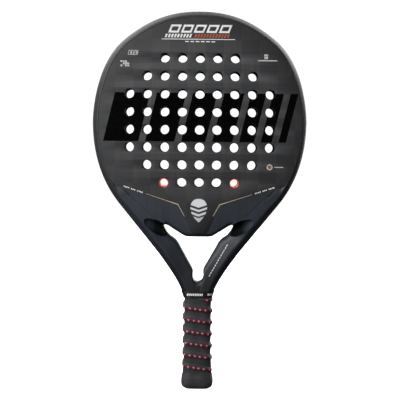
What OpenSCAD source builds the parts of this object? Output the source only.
// Padel racket. A hollow moulded frame runs from the handle up one arm, round the head and
// down the other arm. It holds a drilled foam core between two laminated hitting faces, a
// moulded bridge closes the head above the open throat, and the handle carries a plug cap,
// a cushion grip, a ribbed overgrip and a finishing tape.
// Origin: centre of the butt. +Z runs to the crown, the front face looks to -Y.

/* [Head] */
// Overall length, butt to crown
length = 455.5; // [450:0.5:455.5]
// Width of the head at its widest
head_w = 257; // [252:1:260]
// Thickness across the two hitting faces
thick = 38; // [36:0.5:38]
// Width of the frame tube round the head, seen from the front
hoop_w = 14; // [12:0.5:16]
// Wall of the frame tube
tube_wall = 2; // [1.5:0.1:2.5]
// Width of the bevel round the rim
rim_bevel = 5.5; // [4:0.5:6]
// Half height of the rim's flat outer wall
rim_flat = 11.5; // [9:0.5:13]
// Thickness of each laminated face
face_t = 1.2; // [1:0.1:1.6]
// Rim left uncovered by the faces
face_inset = 7.6; // [7:0.1:8]

/* [Holes] */
// Diameter of the drilled holes
hole_d = 11.4; // [9:0.1:13]
// Distance between holes across the face
pitch_x = 21; // [20:0.1:22]
// Distance between rows of holes
pitch_z = 21.24; // [20:0.01:22]
// Height of the top row above the butt
top_row_z = 399.4; // [395:0.1:402]
// Wall of the coloured sleeves
sleeve_wall = 1.1; // [0.8:0.1:1.5]

/* [Shoulders] */
// Slope of the shoulder panels away from the hitting face, degrees
shoulder_tilt = 3.55; // [2:0.05:4]
// Slope of the keel's short sides, degrees
keel_tilt = 20; // [15:1:30]
// How far an arm's panel falls towards the throat
arm_lean = 4; // [0:0.1:4.5]

/* [Handle] */
// Half width of the two handle tubes together
core_hw = 13.8; // [13:0.1:13.8]
// Half depth of the handle tubes
core_hd = 12.2; // [11:0.1:12.2]
// Gap between the two handle tubes
tube_gap = 3.2; // [2:0.1:4]
// Thickness of the overgrip
wrap_t = 0.8; // [0.6:0.1:1]
// Height of the butt cap's body
cap_h = 14; // [12:1:16]
// Diameter of the wrist cord's hole in the cap
cord_d = 8; // [6:0.5:9]

/* [Grip rib] */
// Rise of the rib for each turn
rib_pitch = 14.3; // [13:0.1:15]
// Width of the rib
rib_w = 5.5; // [4:0.5:6]
// Height of the rib above the overgrip
rib_h = 1.9; // [1:0.1:2]
// Turns of the rib
rib_turns = 6; // [5:0.25:6]
// Coloured studs in each turn
studs_per_turn = 18; // [12:1:20]
// Diameter of a stud
stud_d = 3; // [2:0.1:3.5]

/* [Printed films] */
// Thickness of the printed films
film_t = 0.15; // [0.1:0.05:0.2]
// Lower edge of the broad band of bars
band_low = 300; // [298:1:302]
// Upper edge of the broad band of bars
band_high = 358; // [356:1:360]
// Lean of the bars, over their whole height
band_lean = 14; // [8:1:16]
// Gap between the bars
band_gap = 8; // [6:1:9]

/* [Hidden] */
$fn = 48;

half_t = thick / 2;
seat_y = half_t - face_t;
sx = head_w / 257;
sz = length / 455.5;
hole_rows = [5, 7, 9, 9, 9, 9, 7, 5];
sleeve_row = 7;
sleeve_x = 2 * pitch_x;
mid_gap = tube_gap / 2;

// Crease between the flat hitting face and the sloping shoulders, and the keel's side
crease_x = 25.5;
crease_z = 223.4;
crease_slope = 18.2;
keel_x = 17.9;
keel_z = 209.8;
keel_end_x = 11.4;
keel_end_z = 198;
crease_run = 115;

// Outer edge of the frame, right half, from the crown down to the handle
crown = [[0, 455.5], [32, 455.5], [58, 448], [89, 423.2]];
side_high = [[89, 423.2], [125.4, 394.6], [128.5, 334], [128.5, 324]];
side_low = [[128.5, 324], [128.5, 287], [118.9, 254], [96.9, 225.8]];
arm_top = [96.9, 225.8];
arm_low = [48.9, 166];
arm_root = [[48.9, 166], [36, 148.6], [25.3, 133.5], [19.4, 119.5]];
neck_z = 112.5;

// Throat opening, right half: its lobe, its straight side and its round foot
arm_seam_top = [83.6, 236];
lobe_out = [[42.4, 199.3], [41.5, 195], [38.5, 191.5], [35.5, 187.5]];
arm_inner = [
    [35.5, 187.5], [31, 184.4], [27.6, 182], [24.4, 178], [20.3, 170.7], [16.2, 163.4],
    [12.1, 156.1], [8, 148.9], [6.1, 144], [6.4, 137], [4.2, 129.5], [mid_gap, 122]
];
foot_z = 137;
foot_r = 6.4;
bridge_low = [[0, 186], [13, 186], [17.5, 187.2], [36.6, 199.4], [39, 200.6], [41.5, 200.6]];

// Steps along each stretch of the frame's outline
crown_steps = 10;
side_steps = 12;
arm_steps = 10;
arm_curve_from = 7;
root_steps = len(arm_inner);

// Grip profile: height, half width and half depth outside the overgrip
grip_profile = [
    [0, 11, 10], [1, 14.8, 13.2], [3, 17.9, 15.8], [6, 19.3, 17], [9, 19.6, 17.2],
    [14, 19, 16.8], [20, 17.7, 15.8], [28, 16.4, 15], [68, 16.2, 14.8], [112, 16.3, 14.9]
];
grip_sides = 32;
grip_power = 4;
base_in_hw = core_hw + 0.5;
base_in_hd = core_hd + 0.6;
base_top_z = 111;
grip_top_z = 112;
tape_profile = [[112.2, 17.4, 15.6], [114, 18.2, 15], [117, 19.3, 14.4], [119.6, 20.1, 14]];
tape_t = 0.4;
rib_low_z = 23.4;

function bezier(p, t) =
    pow(1 - t, 3) * p[0] + 3 * pow(1 - t, 2) * t * p[1]
    + 3 * (1 - t) * t * t * p[2] + pow(t, 3) * p[3];
function curve(p, n) = [for (i = [0:n - 1]) bezier(p, i / n)];
function line(a, b, n) = [for (i = [0:n - 1]) a + (b - a) * i / n];
function fit(p) = [for (q = p) [q[0] * sx, q[1] * sz]];
function mirrored(p) = [for (i = [len(p) - 1:-1:0]) [-p[i][0], p[i][1]]];
function unit(v) = v / norm(v);
function inward(p, i) =
    let (d = unit(p[min(i + 1, len(p) - 1)] - (i == 0 ? mul_x(p[1], -1) : p[i - 1])))
    [d[1], -d[0]];
function mul_x(p, k) = [p[0] * k, p[1]];
function head_edge() = fit(concat(
    curve(crown, crown_steps), curve(side_high, side_steps), curve(side_low, side_steps),
    [arm_top]
));
function offset_in(p, w) = [for (i = [0:len(p) - 1]) p[i] + inward(p, i) * w];
function hoop_width(z) = lookup(z, [[arm_top[1] * sz, hoop_w + 2], [258 * sz, hoop_w]]);
function hoop_inner() =
    let (p = head_edge())
    [for (i = [0:len(p) - 2]) p[i] + inward(p, i) * hoop_width(p[i][1])];
function arm_seam() = concat(
    line(arm_seam_top, lobe_out[0], arm_curve_from), curve(lobe_out, arm_steps - arm_curve_from)
);
function drop(p) =
    max(0, (crease_z + (abs(p[0]) - crease_x) * tan(crease_slope) - p[1]) * cos(crease_slope));

// Frame stations, right half: outer point, inner point and kind (0 head, 1 arm, 2 handle)
function frame_outer() = concat(
    [for (i = [0:len(head_edge()) - 2]) head_edge()[i]],
    fit(line(arm_top, arm_low, arm_steps)), fit(curve(arm_root, root_steps)),
    [arm_root[3], [core_hw, neck_z], [core_hw, cap_h]]
);
function frame_inner() = concat(
    hoop_inner(), fit(arm_seam()), arm_inner, [[mid_gap, arm_root[3][1]], [mid_gap, neck_z], [mid_gap, cap_h]]
);
function frame_kind(i) = lookup(i, [
    [crown_steps + 2 * side_steps - 3, 0], [crown_steps + 2 * side_steps + 2, 1],
    [crown_steps + 2 * side_steps + arm_steps + 2, 1],
    [crown_steps + 2 * side_steps + arm_steps + root_steps, 2]
]);
function height_at(p, kind) =
    let (h = half_t - drop(p) * tan(shoulder_tilt))
    kind > 1 ? h + (core_hd - h) * (kind - 1) : h;
function mix(a, b, t) = a + (b - a) * t;
// Fall of an arm's panel towards the throat, below the bridge
function lean_at(z) = lookup(z, [[122, 0], [135, arm_lean], [182, arm_lean], [200, 0]]);
function arm_section(w, ho, hi, fall) = [
    [0, ho - 9], [7, ho], [w * 0.5, mix(ho, hi, 0.5) - fall * 0.4], [w - 4, hi - fall],
    [w, hi - fall - 3.5]
];
function half_section(w, ho, hi, kind, fall) =
    kind <= 1
    ? mix(
        [[0, rim_flat], [rim_bevel, ho], [face_inset - 0.4, ho], [face_inset, hi - face_t],
            [w, hi - face_t]],
        arm_section(w, ho, hi, fall),
        kind
    )
    : mix(
        arm_section(w, ho, hi, fall),
        [[0, ho - 5.5], [5, ho], [w * 0.5, ho], [w - 1, hi], [w, hi - 1]],
        kind - 1
    );
function inner_section(s, w) = [
    for (i = [0:len(s) - 1])
    [
        min(max(s[i][0], tube_wall) + (i == 1 ? 0.6 : 0), w - tube_wall),
        i == 0 ? s[i][1] - 1 : min(s[i][1], s[min(i + 1, len(s) - 1)][1]) - tube_wall - 0.2
    ]
];
function ring_from(s, o, e) = concat(
    [for (q = s) [o[0] + e[0] * q[0], -q[1], o[1] + e[1] * q[0]]],
    [for (k = [len(s) - 1:-1:0]) [o[0] + e[0] * s[k][0], s[k][1], o[1] + e[1] * s[k][0]]]
);
function frame_ring(i, hollow) =
    let (
        o = frame_outer()[i], n = frame_inner()[i], w = norm(n - o), e = (n - o) / w,
        kind = frame_kind(i),
        s = half_section(
            w, height_at(o + e * rim_bevel, kind), height_at(n, kind), kind, lean_at(o[1])
        )
    )
    ring_from(hollow ? inner_section(s, w) : s, o, e);
function mirror_ring(r) = [for (q = r) [-q[0], q[1], q[2]]];
function frame_rings(hollow) =
    let (n = len(frame_outer()), half = [for (i = [0:n - 1]) frame_ring(i, hollow)])
    concat([for (i = [n - 1:-1:1]) mirror_ring(half[i])], half);

// Closed meshes lofted through rings of points
function flat(l) = [for (a = l, b = a) b];
function band_faces(n, m, base, out) = [
    for (k = [0:n - 2], j = [0:m - 1], t = [0, 1])
    let (
        a = base + k * m + j, b = base + k * m + (j + 1) % m, c = b + m, d = a + m,
        f = t == 0 ? [a, b, c] : [a, c, d]
    )
    out ? f : [f[2], f[1], f[0]]
];
function rim_faces(m, a0, b0, out) = [
    for (j = [0:m - 1], t = [0, 1])
    let (
        a = a0 + j, b = a0 + (j + 1) % m, c = b0 + (j + 1) % m, d = b0 + j,
        f = t == 0 ? [a, b, c] : [a, c, d]
    )
    out ? f : [f[2], f[1], f[0]]
];
module hollow_loft(outer, inner) {
    n = len(outer);
    m = len(outer[0]);
    polyhedron(
        concat(flat(outer), flat(inner)),
        concat(
            band_faces(n, m, 0, true), band_faces(n, m, n * m, false),
            rim_faces(m, 0, n * m, false), rim_faces(m, (n - 1) * m, (2 * n - 1) * m, true)
        )
    );
}
module solid_loft(rings) {
    n = len(rings);
    m = len(rings[0]);
    polyhedron(
        flat(rings),
        concat(
            band_faces(n, m, 0, true),
            [for (j = [1:m - 2]) [0, j + 1, j]],
            [for (j = [1:m - 2]) [(n - 1) * m, (n - 1) * m + j, (n - 1) * m + j + 1]]
        )
    );
}

// Rounded rectangle rings round the handle
function grip_point(a, hw, hd, z) =
    let (r = pow(pow(abs(cos(a)) / hw, grip_power) + pow(abs(sin(a)) / hd, grip_power), -1 / grip_power))
    [r * cos(a), r * sin(a), z];
function grip_ring(hw, hd, z) =
    [for (i = [0:grip_sides - 1]) grip_point(-360 * i / grip_sides, hw, hd, z)];
function grip_hw(z) = lookup(z, [for (g = grip_profile) [g[0], g[1]]]);
function grip_hd(z) = lookup(z, [for (g = grip_profile) [g[0], g[2]]]);
function wrap_rings(low, high, inset) = [
    for (z = concat([low], [for (g = grip_profile) if (g[0] > low && g[0] < high) g[0]], [high]))
    grip_ring(grip_hw(z) - inset, grip_hd(z) - inset, z)
];

module slab(y0, y1) {
    translate([0, y1, 0]) rotate([90, 0, 0]) linear_extrude(y1 - y0) children();
}
module both_sides() {
    children();
    mirror([1, 0, 0]) children();
}
module above_crease(bottom) {
    end_z = crease_z + crease_run * tan(crease_slope);
    right = concat(bottom, [[crease_x, crease_z], [crease_x + crease_run, end_z]]);
    polygon(concat(right, [[crease_x + crease_run, 470]], mirrored(concat(right, [[crease_x
        + crease_run, 470]]))));
}
module head_inside() {
    right = concat(hoop_inner(), fit(line(arm_seam_top, lobe_out[0], arm_curve_from)));
    low = [for (i = [len(bridge_low) - 1:-1:0]) bridge_low[i]];
    polygon(concat(right, low, mirrored(concat([for (i = [1:len(right) - 1]) right[i]],
        [for (i = [0:len(low) - 2]) low[i]]))));
}
module face_outline() {
    edge = offset_in(head_edge(), face_inset);
    polygon(concat(edge, [[0, keel_end_z - 8]], mirrored([for (i = [1:len(edge) - 1]) edge[i]])));
}
module holes(wider = 0) {
    for (r = [0:len(hole_rows) - 1])
        for (c = [0:hole_rows[r] - 1])
            translate([(c - (hole_rows[r] - 1) / 2) * pitch_x, 0, top_row_z - r * pitch_z])
                rotate([90, 0, 0]) cylinder(h = thick + 2, d = hole_d + wider, center = true);
}
module shoulder_cutter() {
    reach = 160;
    intersection() {
        translate([crease_x, -half_t, crease_z]) rotate([0, -crease_slope, 0])
            rotate([shoulder_tilt, 0, 0]) translate([-reach, -20, -reach])
                cube([2 * reach, 20, reach]);
        translate([crease_x, -half_t, crease_z])
            rotate([0, -atan2(crease_z - keel_z, crease_x - keel_x), 0])
                rotate([keel_tilt, 0, 0]) translate([-reach, -20, -reach])
                    cube([2 * reach, 20, reach]);
    }
}
module keel_outline() {
    polygon([
        [crease_x, crease_z], [keel_x, keel_z], [keel_end_x, keel_end_z],
        [-keel_end_x, keel_end_z], [-keel_x, keel_z], [-crease_x, crease_z]
    ]);
}

module frame_tube() {
    color("#3b3c3f") hollow_loft(frame_rings(false), frame_rings(true));
}
module throat_bridge() {
    color("#2c2e33") difference() {
        intersection() {
            slab(-half_t, half_t) head_inside();
            slab(-half_t - 1, half_t + 1) polygon([
                [-crease_x - crease_run, crease_z + crease_run * tan(crease_slope)],
                [-crease_x, crease_z], [crease_x, crease_z],
                [crease_x + crease_run, crease_z + crease_run * tan(crease_slope)],
                [crease_x + crease_run, 150], [-crease_x - crease_run, 150]
            ]);
        }
        for (m = [0, 1]) mirror([0, m, 0]) {
            both_sides() shoulder_cutter();
            slab(-half_t - 1, -seat_y) keel_outline();
        }
    }
}
module head_core() {
    color("#e8e6df") difference() {
        intersection() {
            slab(-seat_y, seat_y) head_inside();
            slab(-half_t, half_t) above_crease([]);
        }
        holes();
    }
}
module laminate() {
    difference() {
        intersection() {
            slab(-half_t, -seat_y) face_outline();
            slab(-half_t, -seat_y) above_crease([[keel_end_x, keel_end_z], [keel_x, keel_z]]);
        }
        holes();
    }
}
module front_face() {
    color("#434446") difference() {
        laminate();
        front_prints();
    }
}
module back_face() {
    color("#434446") mirror([0, 1, 0]) difference() {
        laminate();
        band_shapes();
        badge_shape();
    }
}
module sleeve() {
    translate([sleeve_x, 0, top_row_z - sleeve_row * pitch_z]) rotate([90, 0, 0]) difference() {
        cylinder(h = thick, d = hole_d - 0.1, center = true);
        cylinder(h = thick + 2, d = hole_d - 2 * sleeve_wall, center = true);
    }
}
module hole_sleeve_left() {
    color("#e0432c") mirror([1, 0, 0]) sleeve();
}
module hole_sleeve_right() {
    color("#e0432c") sleeve();
}
module handle_filler() {
    web = [for (i = [len(arm_inner) - 3:len(arm_inner) - 1]) arm_inner[i]];
    right = concat(web, [[mid_gap, cap_h + 0.2]]);
    web_hd = core_hd - 1;
    color("#c9b98f") difference() {
        slab(-web_hd, web_hd) polygon(concat(right, mirrored(right)));
        translate([0, 0, foot_z]) rotate([90, 0, 0])
            cylinder(h = thick, r = foot_r, center = true);
    }
}
module butt_cap() {
    plug_x = mid_gap + tube_wall + 0.5;
    plug_w = core_hw - mid_gap - 2 * tube_wall - 1.4;
    plug_d = 2 * (core_hd - tube_wall - 3.6);
    plug_h = 10;
    color("#1b1c1e") difference() {
        union() {
            solid_loft(wrap_rings(0, cap_h, wrap_t));
            both_sides() translate([plug_x, -plug_d / 2, cap_h - 1])
                cube([plug_w, plug_d, plug_h + 1]);
        }
        translate([0, 0, -1]) cylinder(h = cap_h + 2, d = cord_d);
    }
}
module base_grip() {
    rings = wrap_rings(cap_h, base_top_z, wrap_t);
    inner = [for (r = rings) grip_ring(base_in_hw, base_in_hd, r[0][2])];
    color("#202124") hollow_loft(rings, inner);
}
module overgrip() {
    color("#3a3c3c") hollow_loft(wrap_rings(1, grip_top_z, 0), wrap_rings(1, grip_top_z, wrap_t));
}
function rib_z(a) = rib_low_z + rib_pitch * (rib_turns - a / 360);
function rib_ring(a) = [
    for (q = [[-0.5, 0], [-0.28, 0.75], [0, 1], [0.28, 0.75], [0.5, 0]])
    let (z = rib_z(a) + q[0] * rib_w)
    grip_point(a, grip_hw(z) + q[1] * rib_h, grip_hd(z) + q[1] * rib_h, z)
];
module grip_rib() {
    color("#333535")
        solid_loft([for (i = [0:rib_turns * grip_sides]) rib_ring(360 * i / grip_sides)]);
}
module rib_studs() {
    stud_h = 0.5;
    color("#c8506a") for (i = [1:rib_turns * studs_per_turn - 1]) {
        a = 360 * i / studs_per_turn;
        p = grip_point(a, grip_hw(rib_z(a)) + rib_h, grip_hd(rib_z(a)) + rib_h, rib_z(a));
        q = grip_point(a + 2, grip_hw(rib_z(a)) + rib_h, grip_hd(rib_z(a)) + rib_h, rib_z(a));
        translate(p) rotate([0, 90, atan2(q[1] - p[1], q[0] - p[0]) - 90])
            cylinder(h = stud_h, d = stud_d);
    }
}
module finishing_tape() {
    outer = [for (t = tape_profile) grip_ring(t[1], t[2], t[0])];
    inner = [for (t = tape_profile) grip_ring(t[1] - tape_t, t[2] - tape_t, t[0])];
    color("#0d0d0f") hollow_loft(outer, inner);
}

// Printed films, let in flush with the face
module film() {
    slab(-half_t, -half_t + film_t) children();
}
module bar(x, z, w, h, lean) {
    translate([x, z]) polygon([[0, 0], [w, 0], [w + lean, h], [lean, h]]);
}
film_clear = 0.4;
bar_widths = [42, 35, 29, 24, 18, 13, 9];
band_start = -115;
function bar_start(i) = i == 0 ? band_start : bar_start(i - 1) + bar_widths[i - 1] + band_gap;
module band_shapes() {
    film() for (i = [0:len(bar_widths) - 1])
        bar(bar_start(i), band_low, bar_widths[i], band_high - band_low, band_lean);
}
module badge_shape() {
    w = 10;
    right = concat(
        curve([[0, 232], [6.5, 232], [w, 227.5], [w, 221.5]], 6),
        curve([[w, 221.5], [w, 214], [5, 208], [0, 203.5]], 6)
    );
    film() polygon(concat(right, [[0, 203.5]], mirrored([for (i = [1:len(right) - 1]) right[i]])));
}
module open_bar(x, z, w, h, lean, stroke) {
    difference() {
        bar(x, z, w, h, lean);
        bar(x + stroke * (1 + lean / h), z + stroke, w - 2 * stroke, h - 2 * stroke,
            lean * (1 - 2 * stroke / h));
    }
}
module header_white_shapes() {
    film() for (i = [0:4]) open_bar(-38.5 + i * 15, 429, 12.3, 9.5, 4, 2.3);
    film() for (i = [0:8]) bar(-42.5 + i * 3.6, 423.4, 2.2, 4.2, 1.6);
    film() translate([-46, 421]) square([87, 0.8]);
    film() for (i = [0:5]) translate([-18 + i * 6.2, 418]) square([4.2, 1.2]);
}
module header_orange_shapes() {
    film() for (i = [0:11]) bar(-7.5 + i * 3.5, 423.4, 2.2, 4.2, 1.6);
    film() translate([84, 270.5]) circle(d = 3.4);
}
module side_mark_shapes() {
    film() for (i = [0:2]) bar(-83.4 + i * 3.2, 403.7, 1.8, 2.8, 0.7);
    film() open_bar(-86, 402.3, 11.6, 5.6, 1, 0.7);
    film() for (r = [0:2], c = [0:3])
        if ((r + c) % 4 != 1) translate([-94.8 + c * 2.7, 388.6 + r * 2.5]) square([2.3, 2.1]);
    film() for (z = [398.8, 401.9]) translate([75.9, z]) square([4.4, 2.5]);
    film() translate([68.5, 396.2]) square([23, 1.4]);
    film() translate([84, 270.5]) difference() {
        circle(d = 7);
        circle(d = 4.4);
    }
    film() translate([89.5, 270]) square([11, 1]);
}
module stripe_shape() {
    w = 0.9;
    run = 40.5;
    leg = 15.6;
    a = [crease_x - 0.4, crease_z + 1.1];
    up = [cos(crease_slope), sin(crease_slope)];
    down = unit([keel_x - crease_x, keel_z - crease_z]);
    film() polygon([
        a, a + run * up, a + run * up + [0, w], a + [-w * 0.5, w], a + down * leg + [-w, 0],
        a + down * leg
    ]);
}
module dash_shapes() {
    pitch = 1.9;
    film() for (i = [0:12])
        if (i != 4 && i != 8)
            translate([crease_x - 0.4, crease_z + 0.8]) rotate(crease_slope)
                translate([44.5 + i * pitch, 0]) square([1.3, 1.4]);
}
module front_prints() {
    band_shapes();
    badge_shape();
    header_white_shapes();
    header_orange_shapes();
    side_mark_shapes();
    both_sides() stripe_shape();
    both_sides() dash_shapes();
}
module front_band() {
    color("#0a0b0c") difference() {
        band_shapes();
        holes(film_clear);
    }
}
module back_band() {
    color("#0a0b0c") mirror([0, 1, 0]) difference() {
        band_shapes();
        holes(film_clear);
    }
}
module header_print() {
    color("#f1f1ee") header_white_shapes();
}
module header_accent() {
    color("#c4552a") header_orange_shapes();
}
module side_marks() {
    color("#d9dad8") side_mark_shapes();
}
module front_badge() {
    color("#d7d9db") badge_shape();
}
module back_badge() {
    color("#d7d9db") mirror([0, 1, 0]) badge_shape();
}
module stripe_left() {
    color("#b8a46a") mirror([1, 0, 0]) stripe_shape();
}
module stripe_right() {
    color("#b8a46a") stripe_shape();
}
module dashes_left() {
    color("#e6e6e6") mirror([1, 0, 0]) dash_shapes();
}
module dashes_right() {
    color("#e6e6e6") dash_shapes();
}

frame_tube();
throat_bridge();
head_core();
front_face();
back_face();
hole_sleeve_left();
hole_sleeve_right();
handle_filler();
butt_cap();
base_grip();
overgrip();
grip_rib();
rib_studs();
finishing_tape();
front_band();
back_band();
header_print();
header_accent();
side_marks();
front_badge();
back_badge();
stripe_left();
stripe_right();
dashes_left();
dashes_right();
